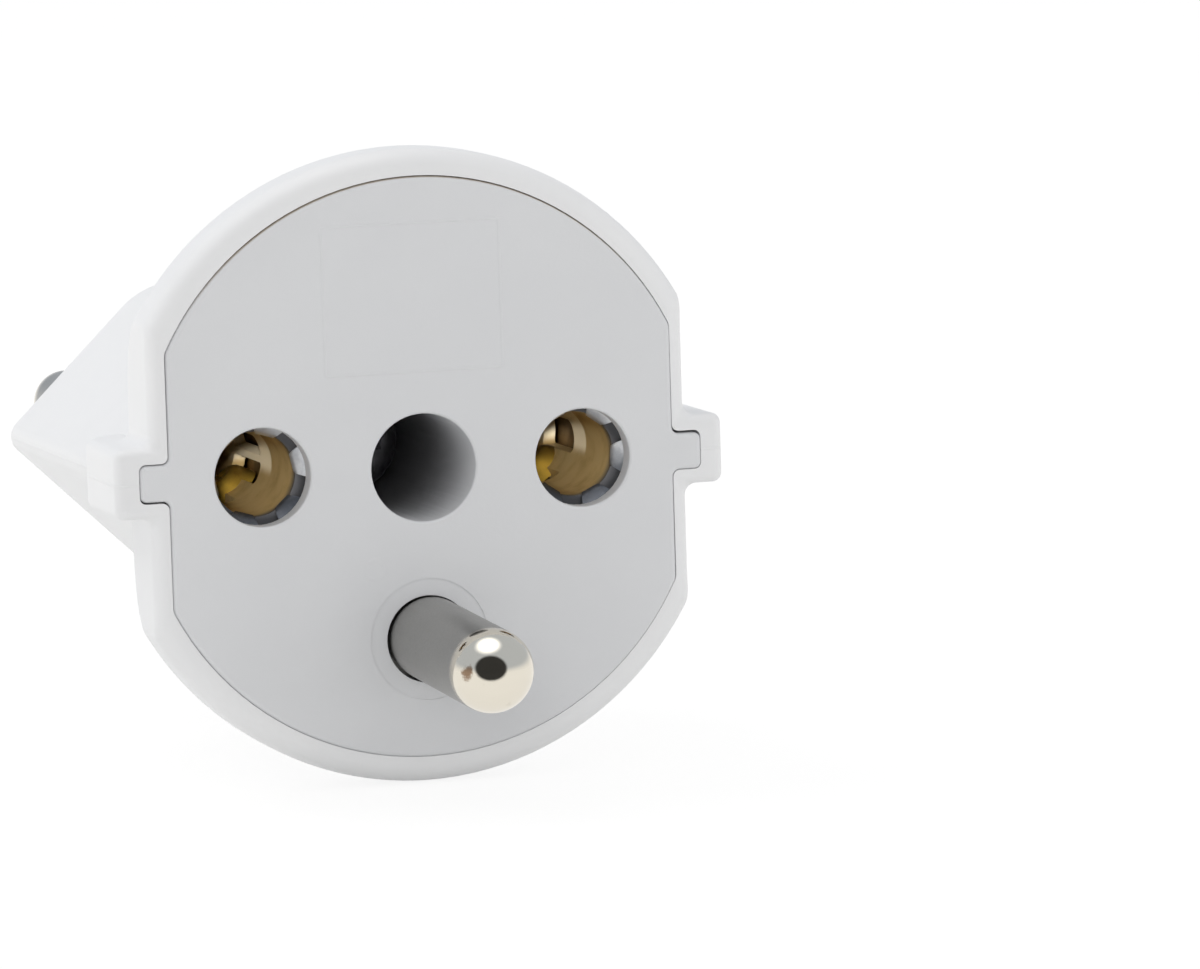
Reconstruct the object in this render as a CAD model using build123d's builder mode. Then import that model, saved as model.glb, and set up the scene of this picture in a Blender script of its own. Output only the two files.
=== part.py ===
from build123d import *
import os
from math import cos, radians, sin, tan

os.makedirs("parts", exist_ok=True)

# Plug adapter, in millimetres. The origin is the middle of the plug end face, halfway between the two
# live pins. +Y runs out of that face along the plug pins, +Z is up, and the socket face looks to -Y.
# A station is a distance from the plug end face towards the socket face.

# Overall lengths
body_length = 30.0
head_depth = 6.0
wall = 1.4
end_wall = 3.0
fit_gap = 0.1

# Head: a disc, rounded wide at the back, with two flats, and a lug on each flat
head_radius = 18.2
head_flat = 15.9
head_front_edge = 1.2
head_back_edge = 3.0
flat_edge = 1.0
lug_reach = 18.05
lug_height = 4.0
lug_length = 9.6
lug_runout = 3.2
lug_edge = 0.6
lug_blend = 0.7

# Body: a six-sided form, full at the plug end and slimmer behind the head
corner_reach = 17.7
flat_reach = 8.7
end_top = 8.8
end_bottom = 8.7
neck_corner_reach = 17.5
neck_top_reach = 11.4
neck_bottom_reach = 8.9
neck_top = 5.5
neck_bottom = 9.0
straight_length = 9.0
straight_draft = 0.25
corner_radius = 1.1
bend_radius = 5.0
end_edge = 0.9

# Socket face plate
insert_radius = 16.6
insert_flat = 14.9
insert_corner_radius = 0.9
insert_edge = 0.3
insert_gap = 0.08
insert_thickness = 3.0
insert_ledge = 1.6
insert_proud = 0.1
tab_reach = 16.6
tab_height = 2.1
tab_corner_radius = 0.4
contact_spacing = 19.0
contact_hole = 5.65
contact_lip = 1.1
well_bore = 6.2
well_wall = 0.7
well_depth = 16.5
well_floor = 1.5
face_pin_drop = 10.0
pin_ring_diameter = 7.0
pin_ring_depth = 0.05
face_pin_gap = 0.12

# Contacts
contact_bore = 4.9
contact_wall = 0.7
contact_depth = 17.8
contact_base = 2.4
contact_flange_wall = 0.45
contact_flange = 0.6
window_start = 8.0
window_length = 6.0
narrow_window = 1.3
wide_window = 2.0
window_turn = 20.0
mouth_depth = 0.5
dome_radius = 1.9
dome_height = 1.2
dimple_radius = 0.7
dimple_depth = 0.4
relief_step = 0.3
relief_margin = 1.4

# Toothed spring rings over the contacts
ring_sheet = 0.3
ring_skirt = 1.1
tooth_count = 5
tooth_gap = 1.5
tooth_root = 6.7
tooth_tip = 5.3
tooth_slope = 28.0

# Pins
plug_pin_diameter = 4.0
plug_pin_length = 19.0
pin_metal_length = 11.4
sleeve_diameter = 3.5
neck_diameter = 2.5
collar_diameter = 5.4
collar_height = 1.5
shank_diameter = 3.6
spigot_diameter = 2.0
spigot_length = 1.6
sleeve_gap = 0.1
plug_earth_drop = 5.0
seat_relief = 0.5
earth_collar_diameter = 4.4
earth_spigot_diameter = 2.0
rivet_height = 0.5
rivet_overhang = 0.45
face_pin_diameter = 4.8
face_pin_length = 14.4
face_collar_diameter = 6.6
face_collar_height = 1.0
face_spigot_diameter = 2.8

# Earth strap
strap_thickness = 0.6
strap_width = 5.0
strap_bend = 0.4
strap_margin = 2.6
strap_inset = 2.0

# Pin carrier, central post and closing screw
carrier_height = 3.9
post_diameter = 4.6
pilot_diameter = 2.6
screw_diameter = 2.5
screw_length = 9.5
screw_head_diameter = 5.3
screw_head_height = 1.9
recess_width = 0.9
recess_length = 3.0
recess_depth = 1.1
washer_diameter = 5.8
washer_thickness = 0.5

# Stations that follow from the sizes above
face = body_length
shoulder = face - head_depth
plate_back = face - insert_thickness
head_floor = shoulder + wall
lip_back = face - contact_lip
well_bottom = face - well_depth
post_top = well_bottom - well_floor
collar_top = end_wall + collar_height
carrier_top = collar_top + carrier_height

# Fits that follow from the sizes above
half_spacing = contact_spacing / 2
live_places = {"line": -half_spacing, "neutral": half_spacing}
contact_outer = contact_bore + 2 * contact_wall
flange_diameter = contact_outer + 2 * contact_flange_wall
ring_outer = flange_diameter + 2 * ring_sheet + fit_gap
pocket_diameter = ring_outer + 2 * fit_gap
ring_front = lip_back
contact_front = ring_front - ring_sheet
contact_floor = contact_front - contact_depth
contact_back = contact_floor - contact_base
relief_top = contact_floor + dome_height + relief_margin
well_outer = well_bore + 2 * well_wall
strap_front = plate_back
strap_back = plate_back - strap_thickness
leg_bottom = neck_bottom - wall - fit_gap
foot_top = carrier_top - strap_inset + strap_thickness
foot_back = carrier_top - strap_inset


def hexagon(reach, top_reach, top, bottom_reach, bottom):
    # A six-sided outline, given by its side corners and by its top and bottom flats
    with BuildLine() as outline:
        Polyline(
            (reach, 0),
            (top_reach, top),
            (-top_reach, top),
            (-reach, 0),
            (-bottom_reach, -bottom),
            (bottom_reach, -bottom),
            close=True,
        )
    return outline.line


def body_section(station, outline):
    # A section of the body with small side corners and wide bends above and below
    with BuildSketch(Plane.XZ.offset(station)) as section:
        add(outline)
        make_face()
        fillet(section.vertices().group_by(SortBy.DISTANCE)[-1], corner_radius)
        fillet(section.vertices().group_by(Axis.Y)[0] + section.vertices().group_by(Axis.Y)[-1], bend_radius)
    return section.sketch


def neck_hollow(station, gap):
    # The hollow of the neck: its outline less the wall, and less a gap for a piece that fits in it
    with BuildSketch(Plane.XZ.offset(station)) as hollow:
        add(neck_outline)
        make_face()
        offset(amount=-wall - gap, kind=Kind.INTERSECTION)
        fillet(hollow.vertices(), corner_radius)
    return hollow.sketch


end_outline = hexagon(corner_reach, flat_reach, end_top, flat_reach, end_bottom)
straight_outline = hexagon(corner_reach, flat_reach, end_top - straight_draft, flat_reach, end_bottom)
neck_outline = hexagon(neck_corner_reach, neck_top_reach, neck_top, neck_bottom_reach, neck_bottom)


def flatted_disc(station, radius, flat):
    # A disc with a flat on each side
    with BuildSketch(Plane.XZ.offset(station)) as disc:
        Circle(radius)
        Rectangle(2 * flat, 2 * radius, mode=Mode.INTERSECT)
    return disc.sketch


def plate_outline(gap):
    # The outline of the face plate with its two tabs, or of its seat where there is a gap round it
    with BuildSketch(Plane.XZ.offset(plate_back)) as plate:
        Circle(insert_radius + gap)
        Rectangle(2 * (insert_flat + gap), 2 * insert_radius + 4 * gap, mode=Mode.INTERSECT)
        fillet(plate.vertices(), insert_corner_radius)
        Rectangle(2 * (tab_reach + gap), tab_height + 2 * gap)
        tab_corners = plate.vertices().filter_by_position(Axis.Y, -tab_height, tab_height)
        fillet(tab_corners, tab_corner_radius)
    return plate.sketch


# One bar across the head makes both lugs, run out towards the body at its back corners
with BuildPart() as lug_bar:
    with BuildSketch(Plane.XY.offset(-lug_height / 2)) as lug_plan:
        with Locations((0, lug_length / 2 - face)):
            Rectangle(2 * lug_reach, lug_length)
        fillet(lug_plan.vertices().group_by(Axis.Y)[-1], lug_runout)
        fillet(lug_plan.vertices().group_by(Axis.Y)[0], lug_edge)
    extrude(amount=lug_height)
    for end in (0, -1):
        fillet(lug_bar.faces().sort_by(Axis.Z)[end].outer_wire().edges(), lug_edge - fit_gap / 2)


# Housing: head, lugs and body moulded as one, open at the socket side
with BuildPart() as housing:
    with BuildSketch(Plane.XZ.offset(shoulder)):
        Circle(head_radius)
    extrude(amount=head_depth)
    for end, edge_radius in ((0, head_front_edge), (-1, head_back_edge)):
        end_face = housing.faces().filter_by(Axis.Y).sort_by(Axis.Y)[end]
        fillet(end_face.outer_wire().edges(), edge_radius)
    with BuildSketch(Plane.XZ.offset(shoulder)):
        Rectangle(2 * head_flat, 2 * head_radius)
    extrude(amount=head_depth, mode=Mode.INTERSECT)
    fillet(housing.faces().filter_by(Axis.X).edges(), flat_edge)
    add(lug_bar.part)
    side_faces = housing.faces().filter_by(Axis.X).filter_by_position(Axis.X, -head_flat, head_flat)
    lug_roots = side_faces.edges().filter_by(Axis.Y).filter_by_position(Axis.Z, -lug_height, lug_height)
    fillet(lug_roots, lug_blend)
    loft(
        [
            body_section(0, end_outline),
            body_section(straight_length, straight_outline),
            body_section(shoulder + wall / 2, neck_outline),
        ]
    )
    end_face = housing.faces().filter_by(Axis.Y).sort_by(Axis.Y)[-1]
    fillet(end_face.outer_wire().edges(), end_edge)
    # Seat of the face plate, slots of its tabs, and the room behind it
    extrude(plate_outline(insert_gap), amount=insert_thickness, mode=Mode.SUBTRACT)
    head_room = flatted_disc(head_floor, insert_radius - insert_ledge, insert_flat - insert_ledge)
    extrude(head_room, amount=plate_back - head_floor, mode=Mode.SUBTRACT)
    extrude(neck_hollow(end_wall, 0), amount=head_floor - end_wall, mode=Mode.SUBTRACT)
    # Post for the closing screw
    with BuildSketch(Plane.XZ.offset(end_wall)):
        Circle(post_diameter / 2)
    extrude(amount=post_top - end_wall)
    with BuildSketch(Plane.XZ.offset(end_wall + fit_gap)):
        Circle(pilot_diameter / 2)
    extrude(amount=post_top - end_wall, mode=Mode.SUBTRACT)
    # Holes of the plug pins
    with BuildSketch(Plane.XZ):
        with Locations(*[(x, 0) for x in live_places.values()]):
            Circle(sleeve_diameter / 2 + sleeve_gap)
        with Locations((0, -plug_earth_drop)):
            Circle((plug_pin_diameter + fit_gap) / 2)
    extrude(amount=end_wall, mode=Mode.SUBTRACT)
housing.part.label = "housing"
export_step(housing.part, "parts/housing.step")


# Face plate, with its tabs, contact pockets and the screw well
with BuildPart() as face_insert:
    plate_thickness = insert_thickness + insert_proud
    extrude(plate_outline(0), amount=plate_thickness)
    front_face = face_insert.faces().filter_by(Axis.Y).sort_by(Axis.Y)[0]
    fillet(front_face.outer_wire().edges(), insert_edge)
    with BuildSketch(Plane.XZ.offset(post_top)):
        Circle(well_outer / 2)
    extrude(amount=plate_back - post_top)
    with BuildSketch(Plane.XZ.offset(well_bottom)):
        Circle(well_bore / 2)
    extrude(amount=well_depth + insert_proud, mode=Mode.SUBTRACT)
    with BuildSketch(Plane.XZ.offset(post_top)):
        Circle(pilot_diameter / 2 + fit_gap)
    extrude(amount=well_floor, mode=Mode.SUBTRACT)
    with BuildSketch(Plane.XZ.offset(plate_back)):
        with Locations(*[(x, 0) for x in live_places.values()]):
            Circle(pocket_diameter / 2)
    extrude(amount=lip_back - plate_back, mode=Mode.SUBTRACT)
    with BuildSketch(Plane.XZ.offset(lip_back)):
        with Locations(*[(x, 0) for x in live_places.values()]):
            Circle(contact_hole / 2)
    extrude(amount=contact_lip + insert_proud, mode=Mode.SUBTRACT)
    with BuildSketch(Plane.XZ.offset(plate_back)):
        with Locations((0, -face_pin_drop)):
            Circle(face_pin_diameter / 2 + face_pin_gap)
    extrude(amount=insert_thickness + insert_proud, mode=Mode.SUBTRACT)
    with BuildSketch(Plane.XZ.offset(plate_back)):
        with Locations((0, -face_pin_drop)):
            Circle(face_collar_diameter / 2 + fit_gap)
    extrude(amount=face_collar_height, mode=Mode.SUBTRACT)
    with BuildSketch(Plane.XZ.offset(face + insert_proud - pin_ring_depth)):
        with Locations((0, -face_pin_drop)):
            Circle(pin_ring_diameter / 2)
    extrude(amount=pin_ring_depth, mode=Mode.SUBTRACT)
face_insert.part.label = "face_insert"
export_step(face_insert.part, "parts/face_insert.step")


def turning_plane(x, z):
    # A half-section plane through an axis: radius first, then station
    return Plane(origin=(x, 0, z), x_dir=(-1, 0, 0), z_dir=(0, 0, 1))


def turning_axis(x, z):
    return Axis((x, 0, z), (0, -1, 0))


def cross_plane(x, z, station):
    # A plane square to an axis, seen from the socket side
    return Plane(origin=(x, -station, z), x_dir=(1, 0, 0), z_dir=(0, -1, 0))


def window_plane(x, station, angle):
    # A plane along a contact, facing out from its axis at an angle
    outward = (cos(radians(angle)), 0, sin(radians(angle)))
    return Plane(origin=(x, -station, 0), x_dir=(0, 1, 0), z_dir=outward)


bore_r = contact_bore / 2
outer_r = contact_outer / 2
flange_r = flange_diameter / 2
contact_turns = {"line": -1.0, "neutral": -87.0}
tooth_turns = {"line": 58.0, "neutral": 34.0}
windows = ((-window_turn, narrow_window), (window_turn, narrow_window), (90.0, wide_window))

# Contacts, spring rings, live pins and their insulating sleeves, one of each for line and neutral
for pole, x in live_places.items():
    with BuildPart() as contact:
        with BuildSketch(turning_plane(x, 0)):
            with BuildLine():
                Polyline(
                    (0, contact_back),
                    (outer_r, contact_back),
                    (outer_r, contact_front - contact_flange),
                    (flange_r, contact_front - contact_flange),
                    (flange_r, contact_front),
                    (tooth_root / 2, contact_front),
                    (bore_r, contact_front - mouth_depth),
                    (bore_r, relief_top),
                    (bore_r + relief_step, relief_top),
                    (bore_r + relief_step, contact_floor),
                    (dome_radius, contact_floor),
                )
                RadiusArc(
                    (dome_radius, contact_floor),
                    (dimple_radius, contact_floor + dome_height),
                    -dome_radius,
                )
                RadiusArc(
                    (dimple_radius, contact_floor + dome_height),
                    (0, contact_floor + dome_height - dimple_depth),
                    (dimple_radius**2 + dimple_depth**2) / (2 * dimple_depth),
                )
                Line((0, contact_floor + dome_height - dimple_depth), (0, contact_back))
            make_face()
        revolve(axis=turning_axis(x, 0))
        # Windows in mirrored sets: two narrow ones with a bar between them, and a wide one
        for turn in (0, 180):
            for angle, window_width in windows:
                window_angle = contact_turns[pole] + turn + angle
                with BuildSketch(window_plane(x, contact_front - window_start - window_length / 2, window_angle)):
                    RectangleRounded(window_length, window_width, window_width / 5)
                extrude(amount=contact_outer, mode=Mode.SUBTRACT)
        with BuildSketch(cross_plane(x, 0, contact_back)):
            Circle((spigot_diameter + fit_gap) / 2)
        extrude(amount=spigot_length, mode=Mode.SUBTRACT)
    contact.part.label = pole + "_contact"
    export_step(contact.part, f"parts/{pole}_contact.step")

    with BuildPart() as ring:
        tooth_drop = (tooth_root - tooth_tip) / 2 * tan(radians(tooth_slope))
        ring_back = ring_front - ring_sheet
        skirt_r = ring_outer / 2 - ring_sheet
        with BuildSketch(turning_plane(x, 0)):
            with BuildLine():
                Polyline(
                    (tooth_tip / 2, ring_back - tooth_drop),
                    (tooth_root / 2, ring_back),
                    (skirt_r, ring_back),
                    (skirt_r, ring_front - ring_skirt),
                    (ring_outer / 2, ring_front - ring_skirt),
                    (ring_outer / 2, ring_front),
                    (tooth_root / 2, ring_front),
                    (tooth_tip / 2, ring_front - tooth_drop),
                    close=True,
                )
            make_face()
        revolve(axis=turning_axis(x, 0))
        with BuildSketch(cross_plane(x, 0, ring_front)):
            with PolarLocations(tooth_tip / 2, tooth_count, start_angle=tooth_turns[pole]):
                Rectangle(tooth_root - tooth_tip, tooth_gap)
        extrude(amount=-ring_skirt - tooth_drop, mode=Mode.SUBTRACT)
    ring.part.label = pole + "_spring_ring"
    export_step(ring.part, f"parts/{pole}_spring_ring.step")

    with BuildPart() as pin:
        tip_r = plug_pin_diameter / 2
        sleeve_end = pin_metal_length - plug_pin_length
        with BuildSketch(turning_plane(x, 0)):
            with BuildLine():
                Line((0, contact_back + spigot_length - fit_gap), (0, -plug_pin_length))
                RadiusArc((0, -plug_pin_length), (tip_r, tip_r - plug_pin_length), -tip_r)
                Polyline(
                    (tip_r, tip_r - plug_pin_length),
                    (tip_r, sleeve_end),
                    (neck_diameter / 2, sleeve_end),
                    (neck_diameter / 2, end_wall),
                    (collar_diameter / 2, end_wall),
                    (collar_diameter / 2, collar_top),
                    (shank_diameter / 2, collar_top),
                    (shank_diameter / 2, contact_back),
                    (spigot_diameter / 2, contact_back),
                    (spigot_diameter / 2, contact_back + spigot_length - fit_gap),
                    (0, contact_back + spigot_length - fit_gap),
                )
            make_face()
        revolve(axis=turning_axis(x, 0))
    pin.part.label = pole + "_pin"
    export_step(pin.part, f"parts/{pole}_pin.step")

    with BuildPart() as pin_sleeve:
        with BuildSketch(cross_plane(x, 0, sleeve_end)):
            Circle(sleeve_diameter / 2)
            Circle(neck_diameter / 2 + fit_gap / 2, mode=Mode.SUBTRACT)
        extrude(amount=end_wall - sleeve_end)
    pin_sleeve.part.label = pole + "_pin_sleeve"
    export_step(pin_sleeve.part, f"parts/{pole}_pin_sleeve.step")


# Earth pin of the plug, riveted to the foot of the strap
with BuildPart() as plug_earth_pin:
    tip_r = plug_pin_diameter / 2
    seat_r = tip_r - seat_relief / 2
    rivet_r = earth_spigot_diameter / 2 + rivet_overhang
    with BuildSketch(turning_plane(0, -plug_earth_drop)):
        with BuildLine():
            Line((0, foot_top + rivet_height), (0, -plug_pin_length))
            RadiusArc((0, -plug_pin_length), (tip_r, tip_r - plug_pin_length), -tip_r)
            Polyline(
                (tip_r, tip_r - plug_pin_length),
                (tip_r, 0),
                (seat_r, 0),
                (seat_r, end_wall),
                (earth_collar_diameter / 2, end_wall),
                (earth_collar_diameter / 2, collar_top),
                (shank_diameter / 2, collar_top),
                (shank_diameter / 2, foot_back),
                (earth_spigot_diameter / 2, foot_back),
                (earth_spigot_diameter / 2, foot_top),
                (rivet_r, foot_top),
                (rivet_r, foot_top + rivet_height / 3),
                (earth_spigot_diameter / 2, foot_top + rivet_height),
                (0, foot_top + rivet_height),
            )
        make_face()
    revolve(axis=turning_axis(0, -plug_earth_drop))
plug_earth_pin.part.label = "plug_earth_pin"
export_step(plug_earth_pin.part, "parts/plug_earth_pin.step")


# Earth pin of the face, its collar held under the face plate and its rivet under the strap
with BuildPart() as face_earth_pin:
    tip_r = face_pin_diameter / 2
    seat_r = tip_r - seat_relief / 2
    tip_station = face + insert_proud + face_pin_length
    collar_front = plate_back + face_collar_height
    spigot_r = face_spigot_diameter / 2
    with BuildSketch(turning_plane(0, -face_pin_drop)):
        with BuildLine():
            Line((0, strap_back - rivet_height), (0, tip_station))
            RadiusArc((0, tip_station), (tip_r, tip_station - tip_r), tip_r)
            Polyline(
                (tip_r, tip_station - tip_r),
                (tip_r, face + insert_proud),
                (seat_r, face + insert_proud),
                (seat_r, collar_front),
                (face_collar_diameter / 2, collar_front),
                (face_collar_diameter / 2, plate_back),
                (spigot_r, plate_back),
                (spigot_r, strap_back),
                (spigot_r + rivet_overhang, strap_back),
                (spigot_r + rivet_overhang, strap_back - rivet_height / 3),
                (spigot_r, strap_back - rivet_height),
                (0, strap_back - rivet_height),
            )
        make_face()
    revolve(axis=turning_axis(0, -face_pin_drop))
face_earth_pin.part.label = "face_earth_pin"
export_step(face_earth_pin.part, "parts/face_earth_pin.step")


# Earth strap: a bent strip with a tab behind the face plate, a leg along the neck and a foot
with BuildPart() as earth_strap:
    tab_end = -face_pin_drop - strap_margin
    foot_end = -plug_earth_drop + earth_spigot_diameter / 2 + rivet_overhang
    leg_inner = strap_thickness - leg_bottom
    with BuildSketch(Plane.YZ) as strap_profile:
        with BuildLine():
            Polyline(
                (-strap_front, tab_end),
                (-strap_front, leg_inner),
                (-foot_top, leg_inner),
                (-foot_top, foot_end),
                (-foot_back, foot_end),
                (-foot_back, -leg_bottom),
                (-strap_back, -leg_bottom),
                (-strap_back, tab_end),
                close=True,
            )
        make_face()
    extrude(amount=strap_width / 2, both=True)
    bends = earth_strap.edges().filter_by(Axis.X).group_by(SortBy.LENGTH)[-1]
    outer_bends = bends.filter_by_position(Axis.Z, -leg_bottom, leg_inner).sort_by(Axis.Y)
    fillet([outer_bends[1], outer_bends[-2]], strap_bend)
    bends = earth_strap.edges().filter_by(Axis.X).filter_by_position(Axis.Z, -leg_bottom, leg_inner)
    fillet([bends.sort_by(Axis.Y)[0], bends.sort_by(Axis.Y)[-1]], strap_bend + strap_thickness)
    fillet(earth_strap.edges().filter_by(Axis.Y).group_by(Axis.Z)[0], strap_width / 2 - fit_gap)
    fillet(earth_strap.edges().filter_by(Axis.Y).group_by(Axis.Z)[-1], strap_width / 4)
    with BuildSketch(cross_plane(0, -face_pin_drop, strap_back)):
        Circle(spigot_r + fit_gap / 2)
    extrude(amount=strap_thickness, mode=Mode.SUBTRACT)
    with BuildSketch(cross_plane(0, -plug_earth_drop, foot_back)):
        Circle((earth_spigot_diameter + fit_gap) / 2)
    extrude(amount=strap_thickness, mode=Mode.SUBTRACT)
earth_strap.part.label = "earth_strap"
export_step(earth_strap.part, "parts/earth_strap.step")


# Carrier that keeps the pins upright in the housing
with BuildPart() as pin_carrier:
    extrude(neck_hollow(end_wall, fit_gap), amount=carrier_top - end_wall)
    with BuildSketch(Plane.XZ.offset(end_wall)):
        Circle(post_diameter / 2 + fit_gap)
        with Locations(*[(x, 0) for x in live_places.values()], (0, -plug_earth_drop)):
            Circle(shank_diameter / 2 + fit_gap)
    extrude(amount=carrier_top - end_wall, mode=Mode.SUBTRACT)
    with BuildSketch(Plane.XZ.offset(end_wall)):
        with Locations(*[(x, 0) for x in live_places.values()]):
            Circle(collar_diameter / 2 + fit_gap)
        with Locations((0, -plug_earth_drop)):
            Circle(earth_collar_diameter / 2 + fit_gap)
    extrude(amount=collar_height, mode=Mode.SUBTRACT)
    with BuildSketch(Plane.XZ.offset(foot_back)):
        with Locations((0, (foot_end - neck_bottom) / 2)):
            Rectangle(strap_width + 2 * fit_gap, neck_bottom + foot_end + 2 * fit_gap)
    extrude(amount=carrier_top - foot_back, mode=Mode.SUBTRACT)
pin_carrier.part.label = "pin_carrier"
export_step(pin_carrier.part, "parts/pin_carrier.step")


# Washer and closing screw at the bottom of the well
with BuildPart() as screw_washer:
    with BuildSketch(Plane.XZ.offset(well_bottom)):
        Circle(washer_diameter / 2)
        Circle(screw_diameter / 2 + fit_gap, mode=Mode.SUBTRACT)
    extrude(amount=washer_thickness)
screw_washer.part.label = "screw_washer"
export_step(screw_washer.part, "parts/screw_washer.step")

with BuildPart() as closing_screw:
    seat = well_bottom + washer_thickness
    head_r = screw_head_diameter / 2
    screw_r = screw_diameter / 2
    with BuildSketch(turning_plane(0, 0)):
        with BuildLine():
            Polyline(
                (0, seat + screw_head_height),
                (0, seat - screw_length),
                (screw_r / 2, seat - screw_length),
                (screw_r, seat - screw_length + screw_r),
                (screw_r, seat),
                (head_r, seat),
                (head_r, seat + screw_head_height / 2),
            )
            RadiusArc(
                (head_r, seat + screw_head_height / 2),
                (head_r - screw_head_height / 2, seat + screw_head_height),
                -screw_head_height / 2,
            )
            Line((head_r - screw_head_height / 2, seat + screw_head_height), (0, seat + screw_head_height))
        make_face()
    revolve(axis=turning_axis(0, 0))
    with BuildSketch(cross_plane(0, 0, seat + screw_head_height)):
        Rectangle(recess_length, recess_width)
        Rectangle(recess_width, recess_length)
    extrude(amount=-recess_depth, mode=Mode.SUBTRACT)
closing_screw.part.label = "closing_screw"
export_step(closing_screw.part, "parts/closing_screw.step")
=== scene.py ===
import bmesh
import bpy
import math
from mathutils import Euler, Matrix, Vector


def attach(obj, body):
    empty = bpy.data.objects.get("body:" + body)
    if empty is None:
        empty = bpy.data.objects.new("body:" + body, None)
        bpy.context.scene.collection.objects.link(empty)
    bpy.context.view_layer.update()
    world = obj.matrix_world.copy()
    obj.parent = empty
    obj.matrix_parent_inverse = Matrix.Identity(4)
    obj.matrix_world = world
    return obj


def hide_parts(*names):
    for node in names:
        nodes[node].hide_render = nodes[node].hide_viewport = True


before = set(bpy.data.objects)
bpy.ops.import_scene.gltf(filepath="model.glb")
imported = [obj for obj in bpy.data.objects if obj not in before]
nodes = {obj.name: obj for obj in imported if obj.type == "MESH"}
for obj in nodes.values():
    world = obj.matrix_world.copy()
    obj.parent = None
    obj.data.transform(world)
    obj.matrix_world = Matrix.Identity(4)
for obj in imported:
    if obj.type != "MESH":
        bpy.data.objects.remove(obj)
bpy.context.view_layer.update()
print("model loaded,", len(nodes), "nodes")

mm = 0.001
faceY = -30.1 * mm  # front of the socket face plate
contactX = {"line": -9.5 * mm, "neutral": 9.5 * mm}
cameraSetup = {
    "place": (-0.12498, -0.46607, 0.05110),
    "turn": (83.404, 1.750, -17.465),
    "lens": 240.0,
    "sensor": 36.0,
    "clip": (0.01, 20.0),
}


# Materials

class Value:
    # one socket in a material, so that shader maths reads as plain arithmetic
    def __init__(self, graph, socket):
        self.graph = graph
        self.socket = socket

    def math(self, operation, *others):
        return self.graph.node("ShaderNodeMath", {"operation": operation}, (self,) + others)

    def swapped(self, operation, first):
        return self.graph.node("ShaderNodeMath", {"operation": operation}, (first, self))

    def __add__(self, other):
        return self.math("ADD", other)

    def __radd__(self, other):
        return self.swapped("ADD", other)

    def __sub__(self, other):
        return self.math("SUBTRACT", other)

    def __rsub__(self, other):
        return self.swapped("SUBTRACT", other)

    def __mul__(self, other):
        return self.math("MULTIPLY", other)

    def __rmul__(self, other):
        return self.swapped("MULTIPLY", other)

    def __truediv__(self, other):
        return self.math("DIVIDE", other)

    def __pow__(self, other):
        return self.math("POWER", other)

    def __abs__(self):
        return self.math("ABSOLUTE")

    def greater(self, other):
        return self.math("MAXIMUM", other)

    def step(self, low, high):
        # 0 at low, 1 at high, and smooth between
        return self.graph.node(
            "ShaderNodeMapRange",
            {"interpolation_type": "SMOOTHSTEP", "clamp": True},
            {"Value": self, "From Min": low, "From Max": high},
        )

    def above(self, edge, soft):
        # 0 below the edge, 1 above it, with a soft step between
        return self.step(edge - soft, edge + soft)

    def other(self, output):
        # another output of the same node
        return Value(self.graph, self.socket.node.outputs[output])


class Graph:
    # a node tree, and the one way that nodes are made in it
    def __init__(self, tree):
        self.tree = tree
        tree.nodes.clear()

    def node(self, kind, settings=None, values=None, output=0):
        made = self.tree.nodes.new(kind)
        for key, setting in (settings or {}).items():
            setattr(made, key, setting)
        values = values or {}
        for key, value in values.items() if isinstance(values, dict) else enumerate(values):
            if isinstance(value, Value):
                self.tree.links.new(value.socket, made.inputs[key])
            else:
                made.inputs[key].default_value = value
        return Value(self, made.outputs[output])

    def blend(self, amount, first, second):
        # a mix of two colours
        values = {0: amount, 6: self.colour(first), 7: self.colour(second)}
        return self.node("ShaderNodeMix", {"data_type": "RGBA"}, values, 2)

    def colour(self, value):
        return value if isinstance(value, Value) else (*value, 1.0)


class Finish(Graph):
    # one material, its Principled shader, and the nodes that feed it
    socketNames = {"colour": "Base Color", "roughness": "Roughness", "metallic": "Metallic", "ior": "IOR",
                   "normal": "Normal"}

    def __init__(self, name, **values):
        self.material = bpy.data.materials.new(name)
        self.material.use_nodes = True
        super().__init__(self.material.node_tree)
        self.surface = self.tree.nodes.new("ShaderNodeOutputMaterial")
        self.shader = self.tree.nodes.new("ShaderNodeBsdfPrincipled")
        self.tree.links.new(self.shader.outputs[0], self.surface.inputs[0])
        self.set(**values)
        self.place = self.node("ShaderNodeTexCoord", output="Object")
        self.x = self.node("ShaderNodeSeparateXYZ", values=(self.place,))
        self.y = self.x.other("Y")
        self.z = self.x.other("Z")

    def set(self, **values):
        for key, value in values.items():
            socket = self.shader.inputs[self.socketNames[key]]
            if isinstance(value, Value):
                self.tree.links.new(value.socket, socket)
            else:
                socket.default_value = (*value, 1.0) if key == "colour" else value

    def noise(self, scale, detail=2.0, roughness=0.5, stretch=(1, 1, 1), seed=0.0):
        moved = {"Vector": self.place, "Location": (seed, seed * 0.7, seed * 0.3), "Scale": stretch}
        where = self.node("ShaderNodeMapping", values=moved)
        values = {"Vector": where, "Scale": scale, "Detail": detail, "Roughness": roughness}
        return self.node("ShaderNodeTexNoise", values=values)

    def bump(self, height, depth, strength=1.0, under=None):
        # height is 0 to 1, depth is in metres
        values = {"Height": height, "Distance": depth, "Strength": strength}
        if under is not None:
            values["Normal"] = under
        return self.node("ShaderNodeBump", values=values)

    def distance(self, x, z):
        # how far a point is from an axis along Y
        return (((self.x - x) ** 2.0) + ((self.z - z) ** 2.0)) ** 0.5

    def strip(self, along, low, high, across, centre, width, soft=0.1 * mm):
        # a soft-edged line between two ends
        inside = along.above(low, soft) * (1 - along.above(high, soft))
        return inside * (1 - abs(across - centre).step(width * 0.3, width))


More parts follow.
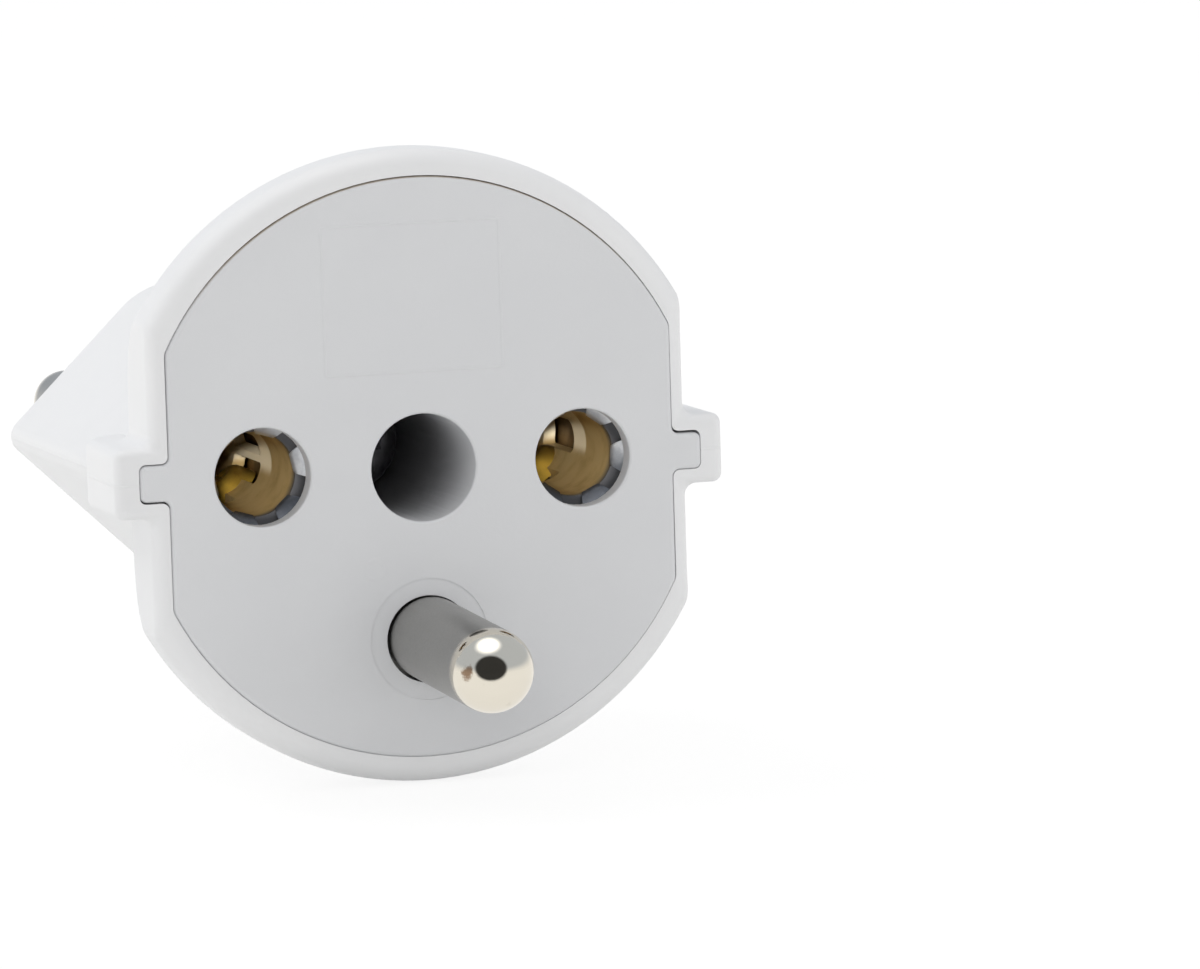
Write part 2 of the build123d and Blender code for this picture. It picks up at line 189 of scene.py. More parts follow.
def housingPlastic():
    look = {
        "white": (0.885, 0.885, 0.890),
        "shade": (0.855, 0.857, 0.865),
        "roughness": 0.34,
        "jointReach": 15.6 * mm,  # the moulding's joint line runs round the body's sides, past this
        "jointEdge": (0.03 * mm, 0.10 * mm),
    }
    finish = Finish("housingPlastic", ior=1.5)
    cloud = finish.noise(90.0, 3.0, 0.5)
    grain = finish.noise(5200.0, 2.0, 0.6)
    flow = finish.noise(420.0, 3.0, 0.55, (1.0, 0.45, 1.0), 0.3)
    scuffs = finish.noise(900.0, 6.0, 0.7, (1.0, 3.0, 0.6), 1.7).step(0.62, 0.74)
    joint = (1 - abs(finish.z).step(*look["jointEdge"])) * abs(finish.x).above(look["jointReach"], 0.2 * mm)
    coarse = finish.bump(flow, 0.010 * mm, 0.6)
    fine = finish.bump(grain, 0.006 * mm, 0.6, coarse)
    finish.set(
        colour=finish.blend(cloud.step(0.3, 0.75), look["white"], look["shade"]),
        roughness=look["roughness"] + 0.08 * cloud + 0.10 * scuffs,
        normal=finish.bump(joint, 0.03 * mm, 0.7, fine),
    )
    return finish.material


def facePlastic():
    look = {
        "grey": (0.752, 0.757, 0.770),
        "shade": (0.728, 0.733, 0.748),
        "paintedDepthShade": (0.34, 0.34, 0.35),
        "back": (0.06, 0.04, 0.02),
        "brown": (0.36, 0.27, 0.17),
        "roughness": 0.46,
        "backFrom": (-26.99 * mm, -26.9 * mm),  # painted shade: the plate's hidden back, outside the well, is near black
        "backReach": (3.3 * mm, 3.5 * mm),
        "wellReach": (3.15 * mm, 3.4 * mm),  # painted shade: the well gets darker towards its screw
        "wellDepth": (-30 * mm, -19 * mm),
        "rimReach": (16.2 * mm, 16.5 * mm),  # the seam at the top of the rim is coloured brown
        "rimHeight": (8 * mm, 14 * mm),
        "seamDepth": (0.06 * mm, 0.16 * mm),
        "toolMark": (-5.6 * mm, 4.9 * mm, 5.5 * mm, 14.0 * mm),  # faint lines: left, right, low and high
        "toolWidth": 0.09 * mm,
        "gateMark": (-3.1 * mm, -5.7 * mm),
        "gateRadius": 0.55 * mm,
    }
    finish = Finish("facePlastic", ior=1.49)
    cloud = finish.noise(120.0, 3.0, 0.55)
    grain = finish.noise(4200.0, 3.0, 0.65)
    speck = finish.noise(2300.0, 1.0, 0.5, seed=2.1).step(0.66, 0.78)
    fromAxis = finish.distance(0, 0)
    paintedShadeBehind = finish.y.step(*look["backFrom"]) * fromAxis.step(*look["backReach"])
    paintedWellShade = (1 - fromAxis.step(*look["wellReach"])) * finish.y.step(*look["wellDepth"])
    rim = fromAxis.step(*look["rimReach"]) * finish.z.step(*look["rimHeight"])
    seam = rim * finish.y.step(*(faceY + depth for depth in look["seamDepth"]))
    plain = finish.blend(cloud.step(0.3, 0.72) * 0.7 + speck * 0.15, look["grey"], look["shade"])
    # painted shade: the hidden back, seen through the contacts' windows, is coloured near black
    plain = finish.blend(paintedShadeBehind, plain, look["back"])
    # painted shade: deeper in the well the plate turns dark grey
    plain = finish.blend(paintedWellShade, plain, look["paintedDepthShade"])
    # marks of the tool's inserts and of the gate, on the front only
    left, right, low, high = look["toolMark"]
    width = look["toolWidth"]
    marks = [finish.strip(finish.z, low, high, finish.x, side, width) for side in (left, right)]
    marks += [finish.strip(finish.x, left, right, finish.z, level, width) for level in (low, high)]
    gate = 1 - abs(finish.distance(*look["gateMark"]) - look["gateRadius"]).step(0.05 * mm, 0.16 * mm)
    raised = gate * 0.6
    for mark in marks:
        raised = raised.greater(mark)
    front = 1 - finish.y.above(faceY + 0.05 * mm, 0.02 * mm)
    matte = finish.bump(grain, 0.012 * mm, 0.7)
    finish.set(
        colour=finish.blend(seam * 0.75, plain, look["brown"]),
        roughness=look["roughness"] + 0.12 * grain,
        normal=finish.bump(raised * front, 0.02 * mm, 0.8, matte),
    )
    return finish.material


def brassContact():
    look = {
        "brass": (0.62, 0.45, 0.20),
        "light": (0.95, 0.83, 0.58),
        "brown": (0.22, 0.12, 0.03),
        "grey": (0.09, 0.09, 0.095),
        "roughness": 0.42,
        "paintedDepthShade": (-21.5 * mm, -12.0 * mm),
        "paintedLightDepth": (-23.1 * mm, -22.8 * mm),  # painted light: past the first third the upper wall is bright
        "paintedLightHeight": (-0.9 * mm, -0.2 * mm),
        "mouth": (-28.2 * mm, -27.0 * mm),
    }
    finish = Finish("brassContact")
    cloud = finish.noise(700.0, 4.0, 0.6)
    turned = finish.noise(1500.0, 2.0, 0.6, (0.05, 6.0, 0.05), 0.9)
    paintedDepthShade = finish.y.step(*look["paintedDepthShade"])
    bright = finish.y.step(*look["paintedLightDepth"]) * finish.z.step(*look["paintedLightHeight"])
    # painted shade: the contact's mouth is coloured dark grey
    mouth = 1 - finish.y.step(*look["mouth"])
    # painted shade: the brass turns dark brown deeper in the contact, with random cloud
    brass = finish.blend(cloud.step(0.4, 0.8) * 0.35 + paintedDepthShade * 0.5, look["brass"], look["brown"])
    # painted light: past the first third the upper wall is coloured a light tan
    paintedLitBrass = finish.blend(bright * 0.9, brass, look["light"])
    finish.set(
        colour=finish.blend(mouth, paintedLitBrass, look["grey"]),
        metallic=0.45 + 0.1 * cloud - 0.3 * bright,
        roughness=look["roughness"] + 0.14 * cloud,
        normal=finish.bump(turned, 0.010 * mm, 0.5),
    )
    return finish.material


def brassBump():
    # painted shade: the pressed bumps inside the contacts are darkened at their upper side
    look = {"gold": (0.62, 0.40, 0.06), "dark": (0.10, 0.05, 0.01), "roughness": 0.26,
            "upper": (-1.9 * mm, -1.0 * mm)}
    finish = Finish("brassBump")
    cloud = finish.noise(900.0, 4.0, 0.6)
    # painted shade at the upper side, with random mottling
    paintedShadeAndMottle = finish.z.step(*look["upper"]) * 0.8 + cloud.step(0.45, 0.8) * 0.3
    finish.set(
        colour=finish.blend(paintedShadeAndMottle, look["gold"], look["dark"]),
        metallic=0.7 + 0.1 * cloud,
        roughness=look["roughness"] + 0.12 * cloud,
        normal=finish.bump(cloud, 0.012 * mm, 0.6),
    )
    return finish.material


def springSteel():
    # painted shade: the lower teeth are coloured darker than the upper ones
    look = {"bright": (0.88, 0.89, 0.90), "dull": (0.62, 0.64, 0.67), "low": (0.17, 0.18, 0.20),
            "roughness": 0.30, "paintedShadeHeight": (-1.6 * mm, 0.2 * mm)}
    finish = Finish("springSteel", metallic=1.0)
    cloud = finish.noise(1100.0, 4.0, 0.65)
    rolled = finish.noise(3000.0, 2.0, 0.5, (0.15, 1.0, 2.5), 0.4)
    # painted shade: below this height the teeth turn dark grey
    paintedShadeBelow = (1 - finish.z.step(*look["paintedShadeHeight"])) * (0.75 + 0.5 * cloud)
    upper = finish.blend(cloud.step(0.3, 0.75), look["bright"], look["dull"])
    finish.set(
        colour=finish.blend(paintedShadeBelow, upper, look["low"]),
        roughness=look["roughness"] + 0.18 * cloud,
        normal=finish.bump(rolled, 0.006 * mm, 0.5),
    )
    return finish.material


def pinNickel(name, tipStart, tipEnd, satin=(0.50, 0.49, 0.47), spot=None):
    # satin along the side, polished on the rounded tip, with a burn mark where a spot is given
    look = {
        "tip": (0.77, 0.72, 0.62),
        "stain": (0.42, 0.34, 0.24),
        "burn": (0.20, 0.10, 0.04),
        "roughness": 0.36,
        "tipRoughness": 0.05,
        "burnEdge": (0.75 * mm, 1.05 * mm),
        "burnRagged": 1.1 * mm,
    }
    finish = Finish(name, metallic=1.0)
    tip = finish.y.step(tipStart, tipEnd)
    cloud = finish.noise(500.0, 4.0, 0.6)
    brushed = finish.noise(2600.0, 3.0, 0.6, (1.0, 0.06, 1.0), 0.6)
    stain = finish.noise(620.0, 5.0, 0.7, seed=3.3).step(0.60, 0.76)
    grain = finish.noise(7000.0, 3.0, 0.8, seed=4.2).step(0.3, 0.75)
    matte = finish.blend(grain * 0.5, satin, tuple(0.72 * c for c in satin))
    body = finish.blend(stain * 0.35, finish.blend(tip, matte, look["tip"]), look["stain"])
    if spot:
        away = finish.node("ShaderNodeVectorMath", {"operation": "DISTANCE"}, (finish.place, spot), "Value")
        ragged = finish.noise(1800.0, 5.0, 0.75, seed=7.7) * look["burnRagged"]
        body = finish.blend((1 - (away + ragged).step(*look["burnEdge"])) * 0.85, body, look["burn"])
    side = look["roughness"] + 0.10 * cloud
    polished = look["tipRoughness"] + 0.05 * cloud
    finish.set(
        colour=body,
        roughness=side * (1 - tip) + polished * tip,
        normal=finish.bump(brushed, 0.004 * mm, 0.5),
    )
    return finish.material


def tarnishedNickel():
    look = {"clean": (0.62, 0.58, 0.50), "tarnish": (0.33, 0.27, 0.20), "speck": (0.10, 0.07, 0.05),
            "roughness": 0.24, "base": (1.0 * mm, 9.0 * mm)}
    finish = Finish("tarnishedNickel", metallic=1.0)
    cloud = finish.noise(260.0, 5.0, 0.65, (1.0, 0.5, 1.0))
    brushed = finish.noise(2400.0, 3.0, 0.6, (1.0, 0.08, 1.0), 1.2)
    base = 1 - finish.y.step(*look["base"])
    speck = finish.noise(1900.0, 3.0, 0.7, seed=5.1).step(0.60, 0.70) * base
    dirty = finish.blend(cloud.step(0.3, 0.7) * (0.35 + 0.55 * base), look["clean"], look["tarnish"])
    finish.set(
        colour=finish.blend(speck, dirty, look["speck"]),
        roughness=look["roughness"] + 0.16 * cloud + 0.2 * speck,
        normal=finish.bump(brushed, 0.005 * mm, 0.5),
    )
    return finish.material


def sleevePlastic():
    look = {"white": (0.80, 0.81, 0.83), "shade": (0.72, 0.73, 0.75), "roughness": 0.40}
    finish = Finish("sleevePlastic", ior=1.5)
    cloud = finish.noise(400.0, 4.0, 0.6, (1.0, 0.4, 1.0))
    grain = finish.noise(5000.0, 2.0, 0.6)
    finish.set(
        colour=finish.blend(cloud.step(0.3, 0.75), look["white"], look["shade"]),
        roughness=look["roughness"] + 0.1 * cloud,
        normal=finish.bump(grain, 0.006 * mm, 0.6),
    )
    return finish.material


def carrierPlastic():
    look = {"white": (0.80, 0.80, 0.78), "shade": (0.74, 0.74, 0.72), "roughness": 0.42}
    finish = Finish("carrierPlastic", ior=1.5)
    cloud = finish.noise(300.0, 3.0, 0.5)
    grain = finish.noise(4200.0, 2.0, 0.6)
    finish.set(
        colour=finish.blend(cloud.step(0.3, 0.75), look["white"], look["shade"]),
        roughness=look["roughness"] + 0.1 * cloud,
        normal=finish.bump(grain, 0.008 * mm, 0.6),
    )
    return finish.material


def plainMetal(name, light, dark, roughness, scale):
    finish = Finish(name, metallic=1.0)
    cloud = finish.noise(scale, 4.0, 0.6)
    grain = finish.noise(scale * 4, 2.0, 0.6)
    finish.set(
        colour=finish.blend(cloud.step(0.3, 0.75), light, dark),
        roughness=roughness + 0.15 * cloud,
        normal=finish.bump(grain, 0.006 * mm, 0.5),
    )
    return finish.material


burnMark = (-1.78 * mm, -43.55 * mm, -10.05 * mm)
livePinNickel = pinNickel("livePinNickel", 16.4 * mm, 17.4 * mm)
materials = {
    "housing": housingPlastic(),
    "face_insert": facePlastic(),
    "line_contact": brassContact(),
    "face_earth_pin": pinNickel("facePinNickel", -41.7 * mm, -42.5 * mm, (0.40, 0.395, 0.38), burnMark),
    "line_pin": livePinNickel,
    "neutral_pin": livePinNickel,
    "plug_earth_pin": tarnishedNickel(),
    "line_pin_sleeve": sleevePlastic(),
    "earth_strap": plainMetal("strapBrass", (0.70, 0.55, 0.30), (0.50, 0.38, 0.20), 0.3, 500.0),
    "pin_carrier": carrierPlastic(),
    "closing_screw": plainMetal("screwSteel", (0.60, 0.60, 0.62), (0.42, 0.42, 0.44), 0.35, 700.0),
    "line_spring_ring": springSteel(),
}
materials["neutral_contact"] = materials["line_contact"]
materials["neutral_spring_ring"] = materials["line_spring_ring"]
materials["neutral_pin_sleeve"] = materials["line_pin_sleeve"]
materials["screw_washer"] = materials["closing_screw"]
for name, node in nodes.items():
    node.data.materials.clear()
    node.data.materials.append(materials[name])
print("materials on", len(nodes), "nodes")


# Pieces made here

def finishPiece(name, mesh, material, replaced=()):
    piece = bpy.data.objects.new(name, mesh)
    bpy.context.scene.collection.objects.link(piece)
    mesh.materials.clear()
    mesh.materials.append(material)
    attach(piece, "root")
    if replaced:
        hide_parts(*replaced)


def plainMesh(name, bm):
    mesh = bpy.data.meshes.new(name)
    bm.to_mesh(mesh)
    bm.free()
    return mesh


def smoothed(mesh, angle):
    # edges that turn by more than the angle stay sharp
    mesh.shade_smooth()
    mesh.set_sharp_from_angle(angle=math.radians(angle))
    return mesh


def shaped(name, mesh, modifiers):
    # runs modifiers on a mesh and gives back the plain result
    rough = bpy.data.objects.new(name + "Rough", mesh)
    bpy.context.scene.collection.objects.link(rough)
    for kind, settings in modifiers:
        modifier = rough.modifiers.new(kind, kind)
        for key, setting in settings.items():
            setattr(modifier, key, setting)
    done = bpy.data.meshes.new_from_object(rough.evaluated_get(bpy.context.evaluated_depsgraph_get()))
    bpy.data.objects.remove(rough)
    done.name = name
    return done


springRing = {
    "front": 28.9,  # station of the front, in millimetres from the plug end
    "sheet": 0.30,
    "sheetEdge": 0.035,
    "skirt": 1.1,
    "outer": 3.95,
    "fold": [(0.22, 0.0), (0.07, 0.05), (0.0, 0.2)],  # inside the outer radius, and behind the front
    "root": 3.15,
    "rootCorner": (1.5, 0.10),  # a tooth's rounded corners, in degrees and millimetres
    "tip": 2.2,
    "tipCorner": (2.5, 0.34),
    "tipRise": 0.03,
    "dish": 0.85,  # how far the tips lie behind the front
    "dishCurve": 1.15,
    "teeth": 6,
    "rootHalf": 18.5,  # half of a tooth's angle where it starts
    "tipHalf": 13.5,
    "tipCut": 0.10,  # the tips are cut straight across, this much shorter
    "stepAngle": 2.2,
    "turns": {"line": 13.0, "neutral": -5.0},
}


def toothedEdge(pole):
    # angle and radius round the inner edge: along a tooth's tip, down its slanted sides and along the gap
    look = springRing
    pitch = 360 / look["teeth"]
    tipTurn, tipRound = look["tipCorner"]
    rootTurn, rootRound = look["rootCorner"]
    half = [
        (look["tipHalf"], look["tip"] + look["tipRise"]),
        (look["tipHalf"] + tipTurn, look["tip"] + tipRound),
        (look["rootHalf"], look["root"] - rootRound),
        (look["rootHalf"] + rootTurn, look["root"]),
        (pitch / 2, look["root"]),
    ]
    outline = [(-angle, radius) for angle, radius in reversed(half)] + half
    edge = []
    for tooth in range(look["teeth"]):
        middle = look["turns"][pole] + tooth * pitch
        for (a, ra), (b, rb) in zip(outline, outline[1:]):
            steps = max(1, round((b - a) / look["stepAngle"]))
            for step in range(steps):
                offset = a + (b - a) * step / steps
                radius = ra + (rb - ra) * step / steps
                if abs(offset) <= look["tipHalf"]:
                    straight = math.cos(math.radians(look["tipHalf"])) / math.cos(math.radians(offset))
                    radius = radius * straight + look["tipCut"]
                edge.append((math.radians(middle + offset), radius))
    return edge


def springRingMesh(pole):
    look = springRing
    shares = (0.0, 0.25, 0.5, 0.75, 1.0)
    tiny = 0.001 * mm
    bm = bmesh.new()
    rows = []
    for turn, inner in toothedEdge(pole):
        section = []
        for share in shares:
            radius = inner + (look["root"] - inner) * share
            sunk = max(0.0, (look["root"] - radius) / (look["root"] - look["tip"]))
            section.append((radius, look["dish"] * sunk ** look["dishCurve"]))
        section += [(look["outer"] - inset, depth) for inset, depth in look["fold"]]
        section.append((look["outer"], look["skirt"]))
        rows.append([
            bm.verts.new((
                contactX[pole] + radius * mm * math.cos(turn),
                -(look["front"] - depth) * mm,
                radius * mm * math.sin(turn),
            ))
            for radius, depth in section
        ])
    for first, second in zip(rows, rows[1:] + rows[:1]):
        for k in range(len(first) - 1):
            ends = (first[k].co - first[k + 1].co).length, (second[k].co - second[k + 1].co).length
            if max(ends) > tiny:
                bm.faces.new((first[k], second[k], second[k + 1], first[k + 1]))
    bmesh.ops.remove_doubles(bm, verts=bm.verts, dist=2 * tiny)
    bmesh.ops.recalc_face_normals(bm, faces=bm.faces)
    edge = {"width": look["sheetEdge"] * mm, "segments": 2, "limit_method": "ANGLE",
            "angle_limit": math.radians(50)}
    mesh = shaped(pole + "SpringRing", plainMesh(pole + "SpringRing", bm), [
        ("SOLIDIFY", {"thickness": look["sheet"] * mm, "offset": -1.0}),
        ("BEVEL", edge),
    ])
    return smoothed(mesh, 32)


for pole in contactX:
    finishPiece(pole + "SpringRing", springRingMesh(pole), materials["line_spring_ring"],
                (pole + "_spring_ring",))
print("spring rings made")


def turnedMesh(name, middle, axis, profile, steps, closed):
    # turns a profile of radius and height round an axis, into a ring or into a form with two ends
    across = axis.orthogonal().normalized()
    beside = axis.cross(across)
    bm = bmesh.new()
    rows = []
    for radius, height in profile:
        row = []
        for turn in [2 * math.pi * k / steps for k in range(steps)] if radius else [0]:
            outward = across * math.cos(turn) + beside * math.sin(turn)
            row.append(bm.verts.new(middle + (axis * height + outward * radius) * mm))
        rows.append(row)
    for outer, inner in zip(rows, rows[1:] + (rows[:1] if closed else [])):
        for k in range(steps):
            after = (k + 1) % steps
            if len(inner) == 1:
                bm.faces.new((outer[k], outer[after], inner[0]))
            else:
                bm.faces.new((outer[k], outer[after], inner[after], inner[k]))
    if not closed:
        bm.faces.new(rows[0])
    bmesh.ops.recalc_face_normals(bm, faces=bm.faces)
    return smoothed(plainMesh(name, bm), 50)


contactBump = {
    "station": 16.6,  # from the plug end
    "side": -50.0,  # which way it lies from the contact's axis, in degrees
    "wall": 2.45,  # the contact's inside radius
    "profile": [(1.60, -0.45), (1.48, -0.10), (1.36, 0.10), (1.27, 0.32), (1.10, 0.60), (0.82, 0.80),
                (0.50, 0.80), (0.24, 0.66), (0.0, 0.58)],
    "steps": 40,
}


def contactBumpMesh(pole):
    look = contactBump
    side = math.radians(look["side"])
    outward = Vector((math.cos(side), 0, math.sin(side)))
    middle = Vector((contactX[pole], -look["station"] * mm, 0)) + outward * look["wall"] * mm
    return turnedMesh(pole + "ContactBump", middle, -outward, look["profile"], look["steps"], False)


contactShell = {
    # the outer sleeve of brass that is seen through the windows: radius and station round its section
    "section": [(3.30, 13.9), (3.30, 22.0), (3.42, 22.25), (3.55, 22.25), (3.46, 21.9), (3.46, 14.0),
                (3.38, 13.8)],
    "steps": 64,
}


def contactShellMesh(pole):
    look = contactShell
    middle = Vector((contactX[pole], 0, 0))
    return turnedMesh(pole + "ContactShell", middle, Vector((0, -1, 0)), look["section"], look["steps"], True)


bumpBrass = brassBump()
shellBrass = plainMetal("shellBrass", (0.30, 0.18, 0.05), (0.16, 0.09, 0.02), 0.40, 700.0)
for pole in contactX:
    finishPiece(pole + "ContactBump", contactBumpMesh(pole), bumpBrass)
    finishPiece(pole + "ContactShell", contactShellMesh(pole), shellBrass)
print("contact bumps and shells made")


def nodeForm(node):
    # a CAD node's shape to work on, with its triangles joined up
    bm = bmesh.new()
    bm.from_mesh(nodes[node].data)
    bmesh.ops.remove_doubles(bm, verts=bm.verts, dist=0.0005 * mm)
    return bm


def reworkedMesh(name, bm, angle):
    # the node's own normals no longer fit the changed shape
    mesh = plainMesh(name, bm)
    if "custom_normal" in mesh.attributes:
        mesh.attributes.remove(mesh.attributes["custom_normal"])
    return smoothed(mesh, angle)


facePlate = {
    "grow": 1.004,  # the seam round the plate is nearly closed
    "rimStart": 13.6,
    "shift": (0.03, 0, -0.03),
    "turn": 0.15,  # it sits a little askew in its seat
    "edge": [(0.0, 0.12), (0.045, 0.04), (0.12, 0.0)],  # depth behind the face, and how far the edge opens
    "holes": [(-9.5, 0, 2.825), (9.5, 0, 2.825), (0, 0, 3.1)],  # place and radius
    "pinHole": (0, -10, 3.75),
    "pinHoleShift": (0.03, 0, 0.14),
}


def facePlateMesh():
    look = facePlate
    nearHole, nearLevel = 0.02 * mm, 0.002 * mm
    bm = nodeForm("face_insert")
    # loops behind the face let the edges of the holes be rounded off
    for depth, _ in look["edge"][1:]:
        everything = bm.verts[:] + bm.edges[:] + bm.faces[:]
        bmesh.ops.bisect_plane(bm, geom=everything, plane_co=(0, faceY + depth * mm, 0), plane_no=(0, 1, 0))
    for vert in bm.verts:
        x, depth, z = vert.co.x, vert.co.y - faceY, vert.co.z
        for holeX, holeZ, radius in look["holes"]:
            fromHole = Vector((x - holeX * mm, 0, z - holeZ * mm))
            if abs(fromHole.length - radius * mm) < nearHole:
                for level, away in look["edge"]:
                    if abs(depth - level * mm) < nearLevel:
                        vert.co += fromHole.normalized() * away * mm
        pinX, pinZ, reach = look["pinHole"]
        if math.hypot(x - pinX * mm, z - pinZ * mm) < reach * mm:
            vert.co += Vector(look["pinHoleShift"]) * mm
        if math.hypot(x, z) > look["rimStart"] * mm:
            vert.co.x *= look["grow"]
            vert.co.z *= look["grow"]
    turned = Matrix.Rotation(math.radians(look["turn"]), 4, "Y")
    bm.transform(Matrix.Translation(Vector(look["shift"]) * mm) @ turned)
    return reworkedMesh("facePlate", bm, 26)


facePin = {"lean": 1.8, "base": (0.09, -30.1, -9.86), "rise": 0.14}  # it leans down a little, from its base


def facePinMesh():
    look = facePin
    bm = nodeForm("face_earth_pin")
    base = Vector(look["base"]) * mm
    raised = Matrix.Translation((base.x, 0, look["rise"] * mm))
    turned = Matrix.Rotation(math.radians(look["lean"]), 4, "X")
    bm.transform(Matrix.Translation(base) @ turned @ Matrix.Translation(-base) @ raised)
    return reworkedMesh("facePin", bm, 30)


finishPiece("facePlate", facePlateMesh(), materials["face_insert"], ("face_insert",))
finishPiece("facePin", facePinMesh(), materials["face_earth_pin"], ("face_earth_pin",))
print("face plate and face pin made")


# Floor, light and camera

surroundings = {
    "sky": 0.76,  # light from all round
    "shadeTilt": 8.0,  # the shaded part lies this many degrees above the photograph's direction
    "shadeSize": (0.70, 0.56),  # sines of its half width and half height
    "shadeEdge": (0.80, 1.15),
    "shadeGloss": 0.04,
    "ceiling": (0.56, 0.60, 0.66),
    "ceilingHeight": (-0.02, 0.25),
    "softboxTilt": 75.0,
    "softboxSide": -0.12,
    "softboxEdge": (0.84, 0.985),
    "softboxGloss": 2.2,
}
photoRight, photoUp, photoBack = Euler([math.radians(a) for a in cameraSetup["turn"]]).to_matrix().col


def tilted(angle):
    # the photograph's direction, turned up by an angle
    return photoBack * math.cos(math.radians(angle)) + photoUp * math.sin(math.radians(angle))


def along(graph, towards, direction):
    values = (towards, tuple(direction))
    return graph.node("ShaderNodeVectorMath", {"operation": "DOT_PRODUCT"}, values, "Value")


def shadedFront(graph, towards):
    # how far a direction looks into the shaded part of the surroundings
    look = surroundings
    sideways = along(graph, towards, photoRight) / look["shadeSize"][0]
    upwards = along(graph, towards, tilted(look["shadeTilt"] + 90)) / look["shadeSize"][1]
    ahead = along(graph, towards, tilted(look["shadeTilt"])).step(0.0, 0.1)
    return (1 - (sideways ** 2.0 + upwards ** 2.0).step(*look["shadeEdge"])) * ahead


def softSurroundings():
    # white to the camera; metal also sees a grey ceiling, a softbox and the shaded part in front
    look = surroundings
    world = bpy.data.worlds.new("studioWorld")
    bpy.context.scene.world = world
    world.use_nodes = True
    graph = Graph(world.node_tree)
    towards = graph.node("ShaderNodeTexCoord", output="Generated")
    height = graph.node("ShaderNodeSeparateXYZ", values=(towards,)).other("Z")
    shade = shadedFront(graph, towards)
    softboxWay = (tilted(look["softboxTilt"]) + photoRight * look["softboxSide"]).normalized()
    softbox = along(graph, towards, softboxWay).step(*look["softboxEdge"])
    ceiling = graph.blend(height.step(*look["ceilingHeight"]), (1, 1, 1), look["ceiling"])
    glossColour = graph.blend(shade, graph.blend(softbox, ceiling, (1, 1, 1)), (look["shadeGloss"],) * 3)
    glossStrength = 1 + softbox * (1 - shade) * (look["softboxGloss"] - 1)
    gloss = graph.node("ShaderNodeBackground", values={"Color": glossColour, "Strength": glossStrength})
    plain = graph.node("ShaderNodeBackground", values={"Color": (1, 1, 1, 1), "Strength": look["sky"]})
    seen = graph.node("ShaderNodeBackground", values={"Color": (1, 1, 1, 1), "Strength": 1.0})
    rays = graph.node("ShaderNodeLightPath")
    direct = rays.other("Is Camera Ray").greater(rays.other("Is Transmission Ray"))
    lit = graph.node("ShaderNodeMixShader", values={0: rays.other("Is Glossy Ray"), 1: plain, 2: gloss})
    whole = graph.node("ShaderNodeMixShader", values={0: direct, 1: lit, 2: seen})
    out = graph.tree.nodes.new("ShaderNodeOutputWorld")
    graph.tree.links.new(whole.socket, out.inputs[0])


floorLook = {
    "z": -18.3 * mm,
    "size": 6,
    "light": (0.88, 0.88, 0.87),
    "dark": (0.86, 0.86, 0.85),
    "roughness": 0.6,
    "glow": 0.80,  # how much of what the camera sees is plain white, the rest takes the shadow
    "glowStrength": 1.08,
    "tip": (0, -42.1 * mm, -10.2 * mm),  # the shaded part runs on over the floor, as seen from here
}


def paleFloor():
    look = floorLook
    finish = Finish("paleFloor", roughness=look["roughness"])
    finish.set(colour=finish.blend(finish.noise(6.0, 3.0, 0.5), look["light"], look["dark"]))
    rays = finish.node("ShaderNodeLightPath")
    glossy = rays.other("Is Glossy Ray")
    world = finish.node("ShaderNodeNewGeometry", output="Position")
    fromTip = finish.node("ShaderNodeVectorMath", {"operation": "SUBTRACT"}, (world, look["tip"]))
    towards = finish.node("ShaderNodeVectorMath", {"operation": "NORMALIZE"}, (fromTip,))
    shade = shadedFront(finish, towards) * glossy
    white = finish.blend(shade, (1, 1, 1), (surroundings["shadeGloss"],) * 3)
    glow = finish.node("ShaderNodeEmission", values={"Color": white, "Strength": look["glowStrength"]})
    lit = Value(finish, finish.shader.outputs[0])
    share = (rays.other("Is Camera Ray").greater(glossy) * look["glow"]).greater(shade)
    both = finish.node("ShaderNodeMixShader", values={0: share, 1: lit, 2: glow})
    finish.tree.links.new(both.socket, finish.surface.inputs[0])
    bpy.ops.mesh.primitive_plane_add(size=look["size"], location=(0, 0, look["z"]))
    floor = bpy.context.object
    floor.name = "floor"
    floor.data.materials.append(finish.material)


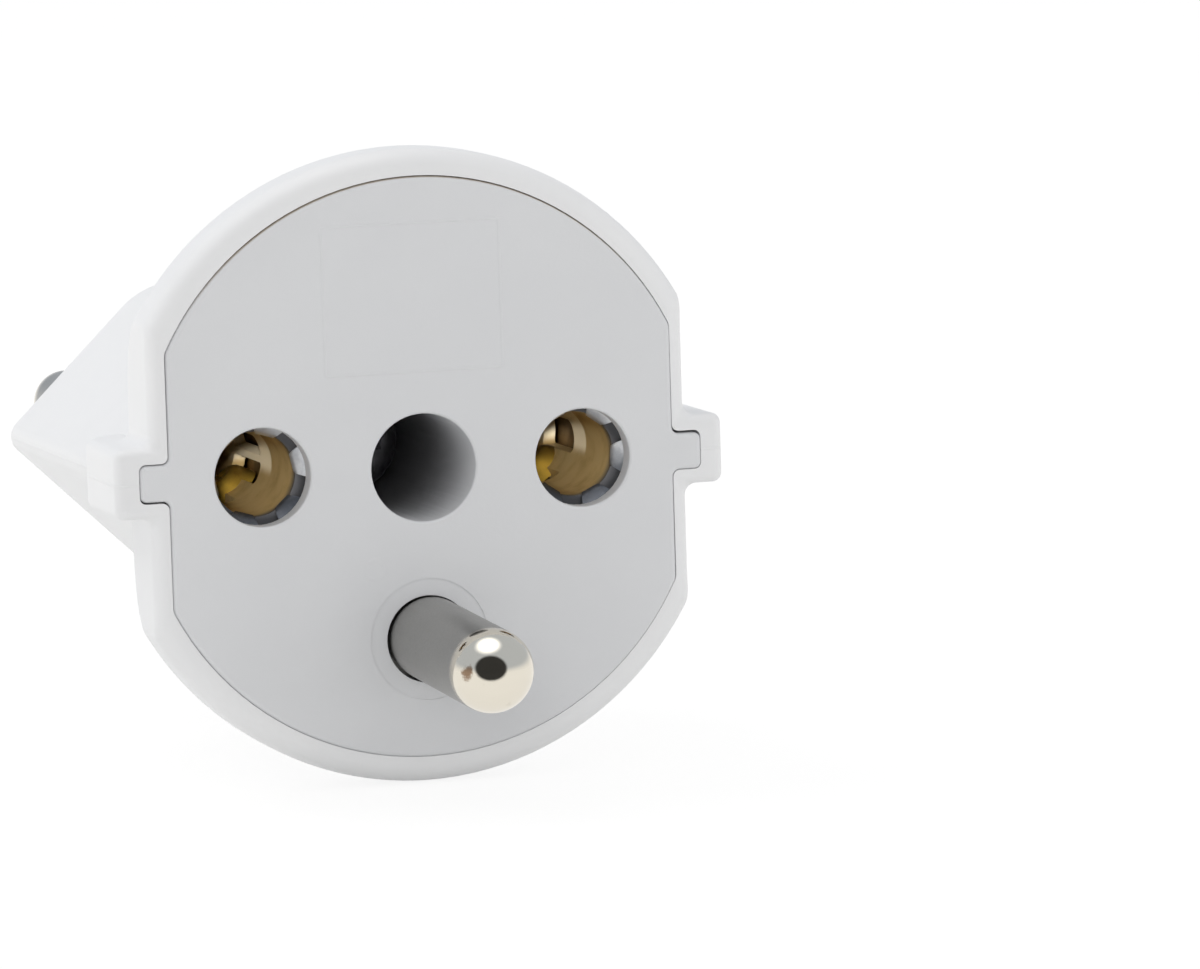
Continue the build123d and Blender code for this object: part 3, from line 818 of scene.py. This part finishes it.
lamps = {
    "aim": (0, -10 * mm, 0),
    # place, size, and the light that a facing surface gets, where a white world of strength 1 gives 1
    "areas": {
        "topLamp": ((-0.25, 0.28, 0.52), 0.40, 0.24),
        "leftLamp": ((-0.56, 0.25, 0.01), 0.30, 0.08),
        "rightLamp": ((0.50, -0.20, 0.02), 0.30, 0.08),
        "frontLamp": ((-0.25, -0.65, 0.20), 0.25, 0.06),
    },
    # a narrow beam into each contact
    "beamFrom": (-0.2396, -0.9608, 0.1392),
    "beamReach": 0.26,
    "beamAngle": 1.0,
    "beamBlend": 0.3,
    "beamSize": 0.3 * mm,
    "beamShare": 1.9,
}


def hangLamp(name, lamp, place, aim):
    # metal doesn't mirror the lamps
    holder = bpy.data.objects.new(name, lamp)
    holder.location = place
    holder.rotation_euler = (Vector(aim) - Vector(place)).to_track_quat("-Z", "Y").to_euler()
    holder.visible_glossy = False
    bpy.context.scene.collection.objects.link(holder)


def areaLamp(name, place, size, share):
    lamp = bpy.data.lights.new(name, "AREA")
    lamp.shape = "DISK"
    lamp.size = size
    distance = (Vector(lamps["aim"]) - Vector(place)).length
    lamp.energy = share * math.pi ** 2 * distance ** 2
    hangLamp(name, lamp, place, lamps["aim"])


def contactBeam(name, x):
    look = lamps
    lamp = bpy.data.lights.new(name, "SPOT")
    lamp.spot_size = math.radians(look["beamAngle"])
    lamp.spot_blend = look["beamBlend"]
    lamp.shadow_soft_size = look["beamSize"]
    lamp.energy = look["beamShare"] * 4 * math.pi ** 2 * look["beamReach"] ** 2
    mouth = Vector((x, faceY, 0))
    hangLamp(name, lamp, mouth + Vector(look["beamFrom"]) * look["beamReach"], mouth)


def photoCamera():
    lens = bpy.data.cameras.new("camera")
    lens.lens = cameraSetup["lens"]
    lens.sensor_width = cameraSetup["sensor"]
    lens.sensor_fit = "HORIZONTAL"
    lens.clip_start, lens.clip_end = cameraSetup["clip"]
    viewer = bpy.data.objects.new("camera", lens)
    viewer.location = cameraSetup["place"]
    viewer.rotation_euler = [math.radians(a) for a in cameraSetup["turn"]]
    bpy.context.scene.collection.objects.link(viewer)
    bpy.context.scene.camera = viewer


paleFloor()
softSurroundings()
for name, (place, size, share) in lamps["areas"].items():
    areaLamp(name, place, size, share)
for pole, x in contactX.items():
    contactBeam(pole + "Beam", x)
photoCamera()
bpy.context.scene.view_settings.view_transform = "Standard"
print("floor, lamps and camera set")
